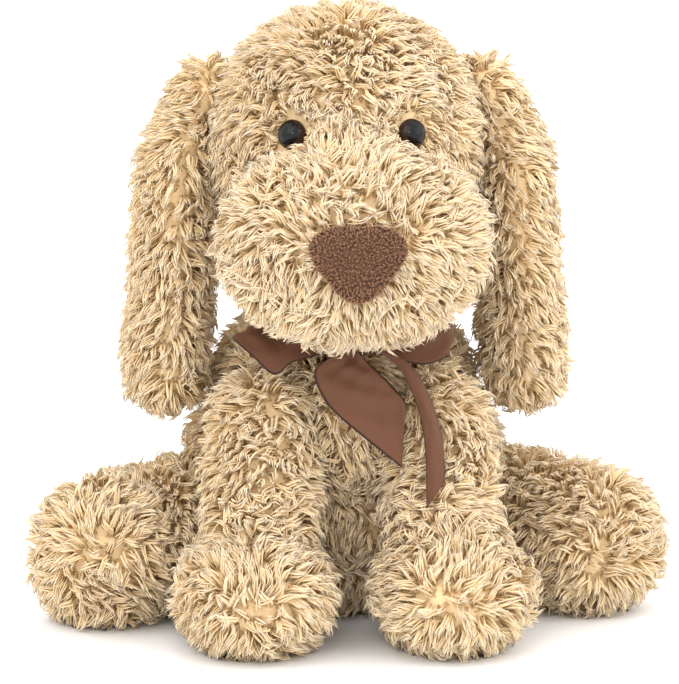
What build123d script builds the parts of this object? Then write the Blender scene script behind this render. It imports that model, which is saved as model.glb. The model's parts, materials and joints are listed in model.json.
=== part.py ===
"""A sitting plush dog: long-pile covers over stuffing, with a ball neck, four jointed legs, two hinged ears,
a wagging tail and a ribbon bow. Millimetres, +Z up, the dog looks along -Y and its left side is +X."""
from build123d import *
import os
from math import asin, cos, degrees, radians, sin, sqrt, tan

os.makedirs("parts", exist_ok=True)

# ------------------------------------------------------------------ cloth and air
cover_wall = 8.0  # backing cloth with its pile pressed together
stuffing_gap = 0.3  # between a cover and the stuffing in it
seat_gap = 0.3  # between two pieces that are sewn or tied together
swing_gap = 0.4  # round a ball that turns in its hollow
stuffing_inset = cover_wall + stuffing_gap
seam_start = (0.1, 0.2, 1)  # limbs are turned starting square to this, which none of them runs along

# ------------------------------------------------------------------ torso
torso_y = 20.5
torso_height = 120.0
seat_radius = 54.0
seat_round = 28.0
top_radius = 50.0
top_round = 34.0
chest_radius = 32.0
chest_y = torso_y - 38.0
chest_z = 88.0
pouch_side = 4.0  # stuffing between the pouch and a hip
pouch_height = 22.0
pouch_lift = 4.0  # stuffing below the pouch

# ------------------------------------------------------------------ neck, skull and muzzle
neck_radius = 28.0
neck_y = torso_y - 20.0
neck_z = torso_height + 20.0
skull_radius = 53.0
skull_y = neck_y - 3.0
skull_z = neck_z + skull_radius
muzzle_half_width = 50.0
muzzle_radius = 37.0
muzzle_y = skull_y - 55.0
chin_rise = 5.0  # of the muzzle's underside above the torso
chin_z = torso_height + chin_rise
muzzle_z = chin_z + muzzle_radius

# ------------------------------------------------------------------ nose
nose_width = 47.0
nose_height = 28.0
nose_tip_width = 14.0
nose_corner = 6.0
nose_edge = 3.5
nose_stand = 9.0  # how far it stands out of the muzzle
nose_root = 20.0  # how far its sides reach back over the muzzle
nose_z = muzzle_z + 2.0

# ------------------------------------------------------------------ eyes
eye_radius = 6.0
eye_dome = 4.4
eye_rim = 0.8
eye_x = 24.0
eye_rise = 11.5  # above the skull's centre
eye_seat = 1.0  # depth of the flat that an eye lies on
shank_radius = 2.2
washer_radius = 7.0
washer_thickness = 1.6
shank_tail = 1.2  # how far the shank shows behind its washer

# ------------------------------------------------------------------ ears
ear_gap = 0.7  # seat_gap, and room for the root, which is wider than it is thick
ear_root_radius = 7.2
ear_bend_radius = 9.4
ear_tip_radius = 10.8
ear_stretch = 2.2  # width of an ear as a multiple of its thickness
ear_y = skull_y + 9.0
ear_hinge_rise = 23.0  # above the skull's centre
ear_root_length = 36.0  # from the hinge to the bend
ear_drop = 86.0  # from the bend to the tip's centre
ear_flare = 5.5  # how far the tip stands out past the bend

# ------------------------------------------------------------------ front legs
shoulder_x = 33.0
shoulder_y = torso_y - 50.0
shoulder_z = 82.0
shoulder_radius = 21.5
front_lift_limit = 35.0
paw_x = 39.5
paw_y = shoulder_y - 36.0
paw_half_width = 30.0
paw_half_length = 36.0
paw_half_height = 22.5
paw_flat = 0.7  # how far the floor presses the sole up
ankle_radius = 20.0

# ------------------------------------------------------------------ hind legs
hip_x = 52.0
hip_y = torso_y + 1.0
hip_z = 34.0
hip_radius = 26.0
foot_x = 98.0
foot_y = torso_y - 33.0
foot_radius = 28.5
foot_flat = 0.7
seat_skew = 6.0  # the left hind leg lies this far back and the right one this far forward

# ------------------------------------------------------------------ tail
tail_y = torso_y + 55.0
tail_z = 24.0
tail_radius = 10.0
tail_tip_radius = 7.0
tail_length = 25.0
tail_rise = 30.0  # degrees above level

# ------------------------------------------------------------------ ribbon
ribbon_thickness = 1.5
ring_height = 10.0
knot_x = 2.0
knot_half_width = 9.0
knot_half_depth = 9.6
knot_half_height = 5.5
chin_gap = 1.0  # between the knot and the muzzle
loop_root_radius = 4.0
loop_end_radius = 9.5
loop_squash = 0.3  # thickness of a loop as a share of its width
loop_forward = 0.1  # how far a loop runs forward for each millimetre outwards
loop_tip = 30.0  # degrees that a loop's broad side is tipped towards the front
left_loop_length = 22.0
right_loop_length = 29.0
tail_lean = 20.0  # degrees from upright at which the ribbon's tails hang
tails_rise = 2.0  # top edge of the tails above the knot's centre

knot_z = chin_z - chin_gap - knot_half_height
ring_radius = neck_radius + swing_gap
ring_outer = ring_radius + ribbon_thickness
knot_y = neck_y - ring_outer - seat_gap - knot_half_depth


# ------------------------------------------------------------------ forms, each a given depth inside the outer skin
def limb(start, end, start_radius, end_radius):
    """Two balls and the cone that touches both, turned about the line from one centre to the other."""
    line = Vector(*end) - Vector(*start)
    lean = asin((start_radius - end_radius) / line.length)
    rise = degrees(lean)
    first = (start_radius * sin(lean), start_radius * cos(lean))
    last = (line.length + end_radius * sin(lean), end_radius * cos(lean))
    side = Plane(origin=start, x_dir=line, z_dir=line.cross(Vector(*seam_start)))
    with BuildPart() as form:
        with BuildSketch(side):
            with BuildLine():
                CenterArc((0, 0), start_radius, 180, -90 - rise)
                Line(first, last)
                CenterArc((line.length, 0), end_radius, 90 - rise, rise - 90)
                Line((line.length + end_radius, 0), (-start_radius, 0))
            make_face()
        revolve(axis=Axis(start, line))
    return form.part


def ellipsoid(centre, radii):
    """A ball stretched to three radii."""
    with BuildPart() as ball:
        Sphere(1)
        scale(by=radii)
    return ball.part.moved(Location(centre))


def torso_form(inset):
    """A rounded pear turned about its own axis, with the chest that bulges from its front."""
    with BuildPart() as form:
        with BuildSketch(Plane.XZ.offset(-torso_y)):
            with BuildLine():
                outline = FilletPolyline(
                    (0, inset),
                    (seat_radius - inset, inset),
                    (top_radius - inset, torso_height - inset),
                    (0, torso_height - inset),
                    radius=[seat_round - inset, top_round - inset],
                )
                Line(outline @ 1, outline @ 0)
            make_face()
        revolve(axis=Axis((0, torso_y, 0), (0, 0, 1)))
        with Locations((0, chest_y, chest_z)):
            Sphere(chest_radius - inset)
    return form.part


def skull_form(inset):
    """The round of the head."""
    with BuildPart() as form:
        with Locations((0, skull_y, skull_z)):
            Sphere(skull_radius - inset)
    return form.part


def muzzle_form(inset):
    """A wide egg, turned about a line from side to side."""
    with BuildPart() as form:
        with BuildSketch(Plane.XY.offset(muzzle_z)):
            with Locations((0, muzzle_y)):
                Ellipse(muzzle_half_width - inset, muzzle_radius - inset)
            split(bisect_by=Plane.XZ.offset(-muzzle_y), keep=Keep.BOTTOM)
        revolve(axis=Axis((0, muzzle_y, muzzle_z), (1, 0, 0)))
    return form.part


def front_leg_form(side, inset):
    """Shoulder ball, straight leg and round paw, level underneath."""
    with BuildPart() as form:
        add(limb(shoulder_centre(side), paw_centre(side), shoulder_radius - inset, ankle_radius - inset))
        radii = (paw_half_width - inset, paw_half_length - inset, paw_half_height - inset)
        add(ellipsoid(paw_centre(side), radii))
        split(bisect_by=Plane.XY.offset(inset), keep=Keep.TOP)
    return form.part


def hind_leg_form(side, inset):
    """Thigh ball and foot ball in one, level underneath."""
    with BuildPart() as form:
        add(limb(hip_centre(side), foot_centre(side), hip_radius - inset, foot_radius - inset))
        split(bisect_by=Plane.XY.offset(inset), keep=Keep.TOP)
    return form.part


def tail_form(inset):
    """A short stub that points up and back."""
    return limb(tail_centre, tail_tip, tail_radius - inset, tail_tip_radius - inset)


def shell(outer, inner):
    """What is left of an outer form when the inner one is taken out."""
    with BuildPart() as cover:
        add(outer)
        add(inner, mode=Mode.SUBTRACT)
    return cover.part


# ------------------------------------------------------------------ places
def shoulder_centre(side):
    return (side * shoulder_x, shoulder_y, shoulder_z)


def paw_centre(side):
    return (side * paw_x, paw_y, paw_half_height - paw_flat)


def hip_centre(side):
    return (side * hip_x, hip_y + side * seat_skew, hip_z)


def foot_centre(side):
    return (side * foot_x, foot_y + side * seat_skew, foot_radius - foot_flat)


sides = ((1, "left"), (-1, "right"))
halves = ((Keep.TOP, "left"), (Keep.BOTTOM, "right"))  # either side of a seam down the middle
neck_centre = (0, neck_y, neck_z)
skull_centre = (0, skull_y, skull_z)
tail_centre = (0, tail_y, tail_z)
tail_tip = (
    0,
    tail_y + tail_length * cos(radians(tail_rise)),
    tail_z + tail_length * sin(radians(tail_rise)),
)
ear_reach = skull_radius + ear_gap + ear_root_radius
ear_hinge_x = sqrt(ear_reach**2 - (ear_y - skull_y) ** 2 - ear_hinge_rise**2)
ear_hinge_z = skull_z + ear_hinge_rise


# ------------------------------------------------------------------ hollows that the moving pieces turn in
def neck_hollow():
    """Room for the neck ball."""
    with BuildPart() as hollow:
        with Locations(neck_centre):
            Sphere(neck_radius + swing_gap)
    return hollow.part


def front_leg_hollow(side):
    """A round-bottomed notch that clears a front leg from rest to its highest lift."""
    shoulder = Vector(*shoulder_centre(side))
    reach = Vector(*paw_centre(side)) - shoulder
    lift = radians(-front_lift_limit)
    raised_y = shoulder.Y + reach.Y * cos(lift) - reach.Z * sin(lift)
    raised_z = shoulder.Z + reach.Y * sin(lift) + reach.Z * cos(lift)
    wide = shoulder_radius + swing_gap
    narrow = ankle_radius + swing_gap
    inner = min(shoulder_x - wide, paw_x - narrow)
    outer = max(shoulder_x + wide, paw_x + narrow)
    with BuildPart() as hollow:
        with BuildSketch(Plane.YZ.offset(side * inner)):
            with BuildLine():
                CenterArc((shoulder.Y, shoulder.Z), wide, 0, 360)
                CenterArc((shoulder.Y + reach.Y, shoulder.Z + reach.Z), narrow, 0, 360)
                CenterArc((raised_y, raised_z), narrow, 0, 360)
            make_hull()
        extrude(amount=side * (outer - inner))
    return hollow.part


def hind_leg_hollow(side):
    """Room for a thigh where it lies against the torso."""
    wide = hip_radius + swing_gap
    return limb(hip_centre(side), foot_centre(side), wide, foot_radius + swing_gap)


def tail_hollow():
    """Room for the ball at the tail's root."""
    with BuildPart() as hollow:
        with Locations(tail_centre):
            Sphere(tail_radius + swing_gap)
    return hollow.part


def hollowed(form):
    """A torso form with the room for everything that turns in it taken out."""
    with BuildPart() as torso:
        add(form)
        add(neck_hollow(), mode=Mode.SUBTRACT)
        for side, _ in sides:
            add(front_leg_hollow(side), mode=Mode.SUBTRACT)
            add(hind_leg_hollow(side), mode=Mode.SUBTRACT)
        add(tail_hollow(), mode=Mode.SUBTRACT)
    return torso.part


# ------------------------------------------------------------------ torso pieces
torso_shell = hollowed(shell(torso_form(0), torso_form(cover_wall)))

for half, name in halves:
    with BuildPart() as torso_cover:
        add(torso_shell)
        split(bisect_by=Plane.YZ, keep=half)
    torso_cover.part.label = f"torso_cover_{name}"
    export_step(torso_cover.part, f"parts/torso_cover_{name}.step")

pouch_z = stuffing_inset + pouch_lift + pouch_height / 2
pouch_radius = hip_x - hip_radius - swing_gap - pouch_side
pouch_centre = (0, torso_y, pouch_z)

with BuildPart() as pellet_pouch:
    add(ellipsoid(pouch_centre, (pouch_radius, pouch_radius, pouch_height / 2)))
pellet_pouch.part.label = "pellet_pouch"
export_step(pellet_pouch.part, "parts/pellet_pouch.step")

with BuildPart() as torso_stuffing:
    add(hollowed(torso_form(stuffing_inset)))
    room = pouch_radius + stuffing_gap
    add(ellipsoid(pouch_centre, (room, room, pouch_height / 2 + stuffing_gap)), mode=Mode.SUBTRACT)
torso_stuffing.part.label = "torso_stuffing"
export_step(torso_stuffing.part, "parts/torso_stuffing.step")

# ------------------------------------------------------------------ neck
with BuildPart() as neck_ball:
    with Locations(neck_centre):
        Sphere(neck_radius)
neck_ball.part.label = "neck_ball"
export_step(neck_ball.part, "parts/neck_ball.step")


# ------------------------------------------------------------------ head
def eye_plane(side, depth):
    """The plane square to the skull where an eye sits, a given depth below the skin, looking outwards."""
    ahead = -sqrt(skull_radius**2 - eye_x**2 - eye_rise**2)
    outward = Vector(side * eye_x, ahead, eye_rise).normalized()
    return Plane(origin=Vector(*skull_centre) + outward * (skull_radius - depth), z_dir=outward)


# a flat washer touches the hollow inside of the cover at its rim, deeper than the cover's own wall
inner_radius = skull_radius - cover_wall
washer_depth = skull_radius - sqrt(inner_radius**2 - washer_radius**2) + seat_gap

with BuildPart() as head_cover_face:
    add(shell(shell(skull_form(0), skull_form(cover_wall)), muzzle_form(cover_wall)))
    add(neck_hollow(), mode=Mode.SUBTRACT)
    split(bisect_by=Plane.XZ.offset(-skull_y), keep=Keep.TOP)
    for side, _ in sides:
        with BuildSketch(eye_plane(side, eye_seat + seat_gap)):
            Circle(eye_radius + seat_gap)
        extrude(amount=skull_radius, mode=Mode.SUBTRACT)
        with BuildSketch(eye_plane(side, washer_depth)):
            Circle(shank_radius + seat_gap)
        extrude(amount=skull_radius, mode=Mode.SUBTRACT)
head_cover_face.part.label = "head_cover_face"
export_step(head_cover_face.part, "parts/head_cover_face.step")

with BuildPart() as head_cover_back:
    add(shell(skull_form(0), skull_form(cover_wall)))
    add(neck_hollow(), mode=Mode.SUBTRACT)
    split(bisect_by=Plane.XZ.offset(-skull_y), keep=Keep.BOTTOM)
head_cover_back.part.label = "head_cover_back"
export_step(head_cover_back.part, "parts/head_cover_back.step")

for half, name in halves:
    with BuildPart() as muzzle_cover:
        add(shell(shell(muzzle_form(0), skull_form(-seat_gap)), muzzle_form(cover_wall)))
        add(neck_hollow(), mode=Mode.SUBTRACT)
        split(bisect_by=Plane.YZ, keep=half)
    muzzle_cover.part.label = f"muzzle_cover_{name}"
    export_step(muzzle_cover.part, f"parts/muzzle_cover_{name}.step")

    with BuildPart() as head_stuffing:
        add(skull_form(stuffing_inset))
        add(muzzle_form(stuffing_inset))
        add(neck_hollow(), mode=Mode.SUBTRACT)
        for side, _ in sides:
            with BuildSketch(eye_plane(side, washer_depth + washer_thickness + shank_tail + seat_gap)):
                Circle(washer_radius + seat_gap)
            extrude(amount=skull_radius, mode=Mode.SUBTRACT)
        split(bisect_by=Plane.YZ, keep=half)
    head_stuffing.part.label = f"head_stuffing_{name}"
    export_step(head_stuffing.part, f"parts/head_stuffing_{name}.step")

nose_front = muzzle_y - muzzle_radius - nose_stand
with BuildPart() as nose:
    with BuildSketch(Plane.XZ.offset(-nose_front)):
        with BuildLine():
            Polyline(
                (-nose_width / 2, nose_z + nose_height / 2),
                (nose_width / 2, nose_z + nose_height / 2),
                (nose_tip_width / 2, nose_z - nose_height / 2),
                (-nose_tip_width / 2, nose_z - nose_height / 2),
                close=True,
            )
        make_face()
        fillet(vertices(), nose_corner)
    extrude(amount=-nose_stand - nose_root)
    fillet(faces().sort_by(Axis.Y)[0].edges(), nose_edge)
    add(muzzle_form(-seat_gap), mode=Mode.SUBTRACT)
nose.part.label = "nose"
export_step(nose.part, "parts/nose.step")

# the dome is a cap of a ball wider than the eye
dome_radius = (eye_radius**2 + eye_dome**2) / (2 * eye_dome)
shank_length = washer_depth - eye_seat + washer_thickness + shank_tail

for side, name in sides:
    with BuildPart(eye_plane(side, eye_seat)) as eye:
        Cylinder(eye_radius, eye_rim + eye_dome, align=(Align.CENTER, Align.CENTER, Align.MIN))
        with Locations((0, 0, eye_rim + eye_dome - dome_radius)):
            Sphere(dome_radius, mode=Mode.INTERSECT)
        Cylinder(shank_radius, shank_length, align=(Align.CENTER, Align.CENTER, Align.MAX))
    eye.part.label = f"eye_{name}"
    export_step(eye.part, f"parts/eye_{name}.step")

    with BuildPart() as eye_washer:
        with BuildSketch(eye_plane(side, washer_depth)):
            Circle(washer_radius)
            Circle(shank_radius + seat_gap / 2, mode=Mode.SUBTRACT)
        extrude(amount=-washer_thickness)
    eye_washer.part.label = f"eye_washer_{name}"
    export_step(eye_washer.part, f"parts/eye_washer_{name}.step")


# ------------------------------------------------------------------ ears
# an ear leaves its hinge along the skull's side and then hangs
hinge_reach = sqrt(ear_hinge_x**2 + ear_hinge_rise**2)
ear_hinge = (-ear_hinge_x, 0, ear_hinge_z)
ear_bend = (
    -ear_hinge_x - ear_root_length * ear_hinge_rise / hinge_reach,
    0,
    ear_hinge_z - ear_root_length * ear_hinge_x / hinge_reach,
)
ear_tip = (ear_bend[0] - ear_flare, 0, ear_bend[2] - ear_drop)


def ear_inside():
    """All that lies between the head and a bent sheet through the middle of the right ear."""
    above = (ear_hinge[0] * 2 - ear_bend[0], ear_hinge[2] * 2 - ear_bend[2])
    below = (ear_tip[0] * 2 - ear_bend[0], ear_tip[2] * 2 - ear_bend[2])
    inward = ear_root_length * 2
    half_width = ear_tip_radius + cover_wall
    with BuildPart() as region:
        with BuildSketch(Plane.XZ.offset(-half_width)):
            with BuildLine():
                Polyline(
                    above,
                    (ear_bend[0], ear_bend[2]),
                    below,
                    (below[0] + inward, below[1]),
                    (above[0] + inward, above[1]),
                    close=True,
                )
            make_face()
        extrude(amount=2 * half_width)
    return region.part


def ear_half(keep_inside):
    """Half of the right ear: two tapering limbs end to end, cut along their middle and drawn out to an ear's width."""
    with BuildPart() as half:
        add(limb(ear_hinge, ear_bend, ear_root_radius, ear_bend_radius))
        add(limb(ear_bend, ear_tip, ear_bend_radius, ear_tip_radius))
        add(ear_inside(), mode=keep_inside)
        scale(by=(1, ear_stretch, 1))
    return half.part.moved(Location((0, ear_y, 0)))


with BuildPart() as ear_right_outer:
    add(ear_half(Mode.SUBTRACT))
ear_right_outer.part.label = "ear_right_outer"
export_step(ear_right_outer.part, "parts/ear_right_outer.step")

with BuildPart() as ear_right_lining:
    add(ear_half(Mode.INTERSECT))
ear_right_lining.part.label = "ear_right_lining"
export_step(ear_right_lining.part, "parts/ear_right_lining.step")

with BuildPart() as ear_left_outer:
    mirror(ear_right_outer.part, about=Plane.YZ)
ear_left_outer.part.label = "ear_left_outer"
export_step(ear_left_outer.part, "parts/ear_left_outer.step")

with BuildPart() as ear_left_lining:
    mirror(ear_right_lining.part, about=Plane.YZ)
ear_left_lining.part.label = "ear_left_lining"
export_step(ear_left_lining.part, "parts/ear_left_lining.step")

# ------------------------------------------------------------------ front legs
for side, name in sides:
    along = Vector(*paw_centre(side)) - Vector(*shoulder_centre(side))
    seam = Plane(origin=shoulder_centre(side), z_dir=along.cross(Vector(0, side, 0)))
    leg_shell = shell(front_leg_form(side, 0), front_leg_form(side, cover_wall))

    with BuildPart() as front_leg_outer:
        add(leg_shell)
        split(bisect_by=seam, keep=Keep.TOP)
    front_leg_outer.part.label = f"front_leg_{name}_outer"
    export_step(front_leg_outer.part, f"parts/front_leg_{name}_outer.step")

    with BuildPart() as front_leg_inner:
        add(leg_shell)
        split(bisect_by=seam, keep=Keep.BOTTOM)
    front_leg_inner.part.label = f"front_leg_{name}_inner"
    export_step(front_leg_inner.part, f"parts/front_leg_{name}_inner.step")

    with BuildPart() as front_leg_stuffing:
        add(front_leg_form(side, stuffing_inset))
    front_leg_stuffing.part.label = f"front_leg_{name}_stuffing"
    export_step(front_leg_stuffing.part, f"parts/front_leg_{name}_stuffing.step")

# ------------------------------------------------------------------ hind legs
for side, name in sides:
    seam = Plane.XY.offset(foot_centre(side)[2])
    leg_shell = shell(hind_leg_form(side, 0), hind_leg_form(side, cover_wall))

    with BuildPart() as hind_leg_upper:
        add(leg_shell)
        split(bisect_by=seam, keep=Keep.TOP)
    hind_leg_upper.part.label = f"hind_leg_{name}_upper"
    export_step(hind_leg_upper.part, f"parts/hind_leg_{name}_upper.step")

    with BuildPart() as hind_leg_sole:
        add(leg_shell)
        split(bisect_by=seam, keep=Keep.BOTTOM)
    hind_leg_sole.part.label = f"hind_leg_{name}_sole"
    export_step(hind_leg_sole.part, f"parts/hind_leg_{name}_sole.step")

    with BuildPart() as hind_leg_stuffing:
        add(hind_leg_form(side, stuffing_inset))
    hind_leg_stuffing.part.label = f"hind_leg_{name}_stuffing"
    export_step(hind_leg_stuffing.part, f"parts/hind_leg_{name}_stuffing.step")

# ------------------------------------------------------------------ tail
tail_wall = tail_tip_radius / 2  # the tail is too thin for a full wall and stuffing

with BuildPart() as tail_cover:
    add(shell(tail_form(0), tail_form(tail_wall)))
tail_cover.part.label = "tail_cover"
export_step(tail_cover.part, "parts/tail_cover.step")

with BuildPart() as tail_stuffing:
    add(tail_form(tail_wall + stuffing_gap))
tail_stuffing.part.label = "tail_stuffing"
export_step(tail_stuffing.part, "parts/tail_stuffing.step")

# ------------------------------------------------------------------ ribbon
with BuildPart() as neck_ribbon:
    with BuildSketch(Plane.XY.offset(torso_height + seat_gap)):
        with Locations((0, neck_y)):
            Circle(ring_outer)
            Circle(ring_radius, mode=Mode.SUBTRACT)
    extrude(amount=ring_height)
neck_ribbon.part.label = "neck_ribbon"
export_step(neck_ribbon.part, "parts/neck_ribbon.step")

knot_centre = (knot_x, knot_y, knot_z)
with BuildPart() as bow_knot:
    add(ellipsoid(knot_centre, (knot_half_width, knot_half_depth, knot_half_height)))
    add(torso_form(-seat_gap), mode=Mode.SUBTRACT)
bow_knot.part.label = "bow_knot"
export_step(bow_knot.part, "parts/bow_knot.step")


def bow_loop(side, length):
    """A ribbon loop pressed flat, from the knot out to its round end, tipped towards the front."""
    with BuildPart() as flat:
        add(limb((0, 0, 0), (length, 0, 0), loop_root_radius, loop_end_radius))
        scale(by=(1, 1, loop_squash))
    start = (knot_x + side * (knot_half_width + loop_root_radius + seat_gap), knot_y, knot_z)
    down = sin(radians(loop_tip))
    broad_side = (-side * loop_forward * down, -down, cos(radians(loop_tip)))
    lie = Plane(origin=start, x_dir=(side, -loop_forward, 0), z_dir=broad_side)
    return flat.part.moved(lie.location)


loop_lengths = {"left": left_loop_length, "right": right_loop_length}
for side, name in sides:
    with BuildPart() as loop:
        add(bow_loop(side, loop_lengths[name]))
    loop.part.label = f"bow_loop_{name}"
    export_step(loop.part, f"parts/bow_loop_{name}.step")

# the tails hang in one leaning sheet whose back just clears the front of the knot
hang = radians(tail_lean)
tails_top = knot_z + tails_rise
hang_normal = Vector(0, -cos(hang), sin(hang))
knot_reach = sqrt((knot_half_depth * cos(hang)) ** 2 + (knot_half_height * sin(hang)) ** 2)
hang_point = Vector(*knot_centre) + hang_normal * (knot_reach + seat_gap)
hinge_y = hang_point.Y + (tails_top - hang_point.Z) * tan(hang)
tails_plane = Plane(origin=(knot_x, hinge_y, tails_top), x_dir=(1, 0, 0), z_dir=hang_normal)

# across the sheet, and down it from its top edge
short_tail = ((-7, 0), (-0.4, 0), (19, -20), (17.4, -44), (5.7, -36), (-12.5, -18))
long_tail = (
    (0.4, 0), (7, 0), (23.5, -7), (30, -23), (34, -35), (34.4, -45), (33, -52),
    (27, -61), (27, -38), (25, -28), (21, -16), (12, -8),
)
with BuildPart() as ribbon_tail_short:
    with BuildSketch(tails_plane):
        with BuildLine():
            Polyline(*short_tail, close=True)
        make_face()
    extrude(amount=ribbon_thickness)
ribbon_tail_short.part.label = "ribbon_tail_short"
export_step(ribbon_tail_short.part, "parts/ribbon_tail_short.step")

with BuildPart() as ribbon_tail_long:
    with BuildSketch(tails_plane):
        with BuildLine():
            Polyline(*long_tail, close=True)
        make_face()
    extrude(amount=ribbon_thickness)
ribbon_tail_long.part.label = "ribbon_tail_long"
export_step(ribbon_tail_long.part, "parts/ribbon_tail_long.step")
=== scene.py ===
# %% [markdown]
# # A plush dog with a ribbon bow
# A long-pile plush toy is sewn from furry cloth, turned right side out and stuffed. Its look comes from
# three things: plump stuffed forms, the thousands of curly locks that stand on them, and a few smooth
# details such as the eyes, the fleece nose and the ribbon. This lesson makes the forms first, then the
# locks, the nose and the ribbon.
# The frame holds the jointed model, so every place below is worked out from its pieces and its joints.

# %% Load the jointed model
import json

import bpy
import numpy as np
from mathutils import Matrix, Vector


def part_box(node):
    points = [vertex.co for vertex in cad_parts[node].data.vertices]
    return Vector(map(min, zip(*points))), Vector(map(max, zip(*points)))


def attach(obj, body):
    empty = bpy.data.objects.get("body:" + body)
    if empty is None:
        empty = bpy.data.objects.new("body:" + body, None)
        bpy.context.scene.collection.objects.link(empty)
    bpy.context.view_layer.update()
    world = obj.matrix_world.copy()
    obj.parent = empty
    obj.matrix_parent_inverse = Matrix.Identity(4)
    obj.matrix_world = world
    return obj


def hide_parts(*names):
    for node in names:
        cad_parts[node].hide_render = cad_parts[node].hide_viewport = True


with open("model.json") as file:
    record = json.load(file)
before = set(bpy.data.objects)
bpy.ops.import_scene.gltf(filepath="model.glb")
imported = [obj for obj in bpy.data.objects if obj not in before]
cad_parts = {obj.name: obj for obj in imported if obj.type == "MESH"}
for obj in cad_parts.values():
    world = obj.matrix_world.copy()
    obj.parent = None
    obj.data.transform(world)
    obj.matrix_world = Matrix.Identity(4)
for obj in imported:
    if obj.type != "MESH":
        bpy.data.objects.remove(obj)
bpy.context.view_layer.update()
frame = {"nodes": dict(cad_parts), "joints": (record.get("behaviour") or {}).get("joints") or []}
MM = 0.001


# %% [markdown]
# ## Camera
# The toy is seen from a little above its own height and from far enough away that its nose doesn't look
# large. A long lens does that. The camera stands on a circle round the toy, so two angles and a distance
# place it.

# %% Camera
def stand_camera(turn, height, distance, target, lens):
    """The camera's place is the target plus the distance along a direction of two angles, looking back."""
    a, e = np.radians(turn), np.radians(height)
    back = Vector((np.sin(a) * np.cos(e), -np.cos(a) * np.cos(e), np.sin(e)))
    data = bpy.data.cameras.new("camera")
    camera = bpy.data.objects.new("camera", data)
    bpy.context.collection.objects.link(camera)
    camera.location = Vector(target) + back * distance
    camera.rotation_euler = back.to_track_quat("Z", "Y").to_euler()
    data.lens = lens
    data.clip_end = 20
    bpy.context.scene.camera = camera
    return camera


camera = stand_camera(-2.7, 12, 2.6, (-0.003, -0.0075, 0.112), 339)
print("camera at", [round(v, 3) for v in camera.location])


# %% [markdown]
# ## Floor and light
# Deep pile on a pale floor needs large soft lights, or the shadows between locks turn black. A broad light
# from the front and above gives the form, one from the side opens its shadows, one behind lifts its edge, a
# small one puts a spark in the eyes, and a pale world fills the rest.

# %% Floor and lights
def broad_light(name, place, aim, size, power):
    """A square area light at a place, turned to look at a point."""
    data = bpy.data.lights.new(name, "AREA")
    data.size, data.energy = size, power
    light = bpy.data.objects.new(name, data)
    bpy.context.collection.objects.link(light)
    light.location = place
    light.rotation_euler = (Vector(place) - Vector(aim)).to_track_quat("Z", "Y").to_euler()
    return light


floor_size = 6.0
corners = np.array([(-1, -1, 0), (1, -1, 0), (1, 1, 0), (-1, 1, 0)]) * floor_size / 2
floor_mesh = bpy.data.meshes.new("floor")
floor_mesh.from_pydata(corners.tolist(), [], [(0, 1, 2, 3)])
floor = bpy.data.objects.new("floor", floor_mesh)
bpy.context.collection.objects.link(floor)
floor_paint = bpy.data.materials.new("pale floor")
floor_paint.use_nodes = True
floor_shader = floor_paint.node_tree.nodes["Principled BSDF"]
floor_shader.inputs["Base Color"].default_value = (0.95, 0.95, 0.95, 1)
floor_shader.inputs["Roughness"].default_value = 0.85
floor_mesh.materials.append(floor_paint)

toy_middle = (0, 0, 0.12)
broad_light("key light", (-0.55, -0.9, 1.15), toy_middle, 1.1, 4.2)
broad_light("side light", (1.1, -0.5, 0.7), toy_middle, 1.0, 2.5)
broad_light("back light", (0.1, 1.0, 1.1), toy_middle, 1.0, 2)
broad_light("catch light", (-0.2, -1.3, 0.75), toy_middle, 0.12, 1.0)
world = bpy.context.scene.world or bpy.data.worlds.new("studio")
bpy.context.scene.world = world
world.use_nodes = True
world.node_tree.nodes["Background"].inputs["Color"].default_value = (1, 1, 1, 1)
world.node_tree.nodes["Background"].inputs["Strength"].default_value = 1.6
bpy.context.scene.view_settings.view_transform = "Standard"
print("four lights and a pale floor")


# %% [markdown]
# ## Surfaces from numbers
# A form in this lesson is a rule that turns two numbers into a point: how far round, and how far along. numpy
# works the rule out for the whole grid at once, and the grid's cells become the faces. A limb is a profile of
# two balls and the cone between them, turned about the line that joins them, and a ball may be drawn out to
# three radii.

# %% Turning grids into meshes
def make_object(name, points, faces, uv=None, smooth=True):
    """Put arrays of points and of faces, all with the same number of corners, into a new object."""
    mesh = bpy.data.meshes.new(name)
    points = np.asarray(points, np.float32).reshape(-1, 3)
    mesh.vertices.add(len(points))
    mesh.vertices.foreach_set("co", points.ravel())
    groups = [np.asarray(group, np.int32) for group in faces]
    loops = np.concatenate([group.ravel() for group in groups])
    sizes = np.concatenate([np.full(len(group), group.shape[1]) for group in groups])
    mesh.loops.add(len(loops))
    mesh.loops.foreach_set("vertex_index", loops)
    mesh.polygons.add(len(sizes))
    mesh.polygons.foreach_set("loop_start", np.concatenate([[0], np.cumsum(sizes)[:-1]]).astype(np.int32))
    mesh.update(calc_edges=True)
    if uv is not None:
        layer = mesh.uv_layers.new(name="OFBake")
        layer.data.foreach_set("uv", np.asarray(uv, np.float32).ravel())
    mesh.polygons.foreach_set("use_smooth", np.full(len(sizes), smooth))
    obj = bpy.data.objects.new(name, mesh)
    bpy.context.collection.objects.link(obj)
    return obj


def unit(v):
    """Each vector divided by its length."""
    return v / np.maximum(np.linalg.norm(v, axis=-1, keepdims=True), 1e-12)


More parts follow.
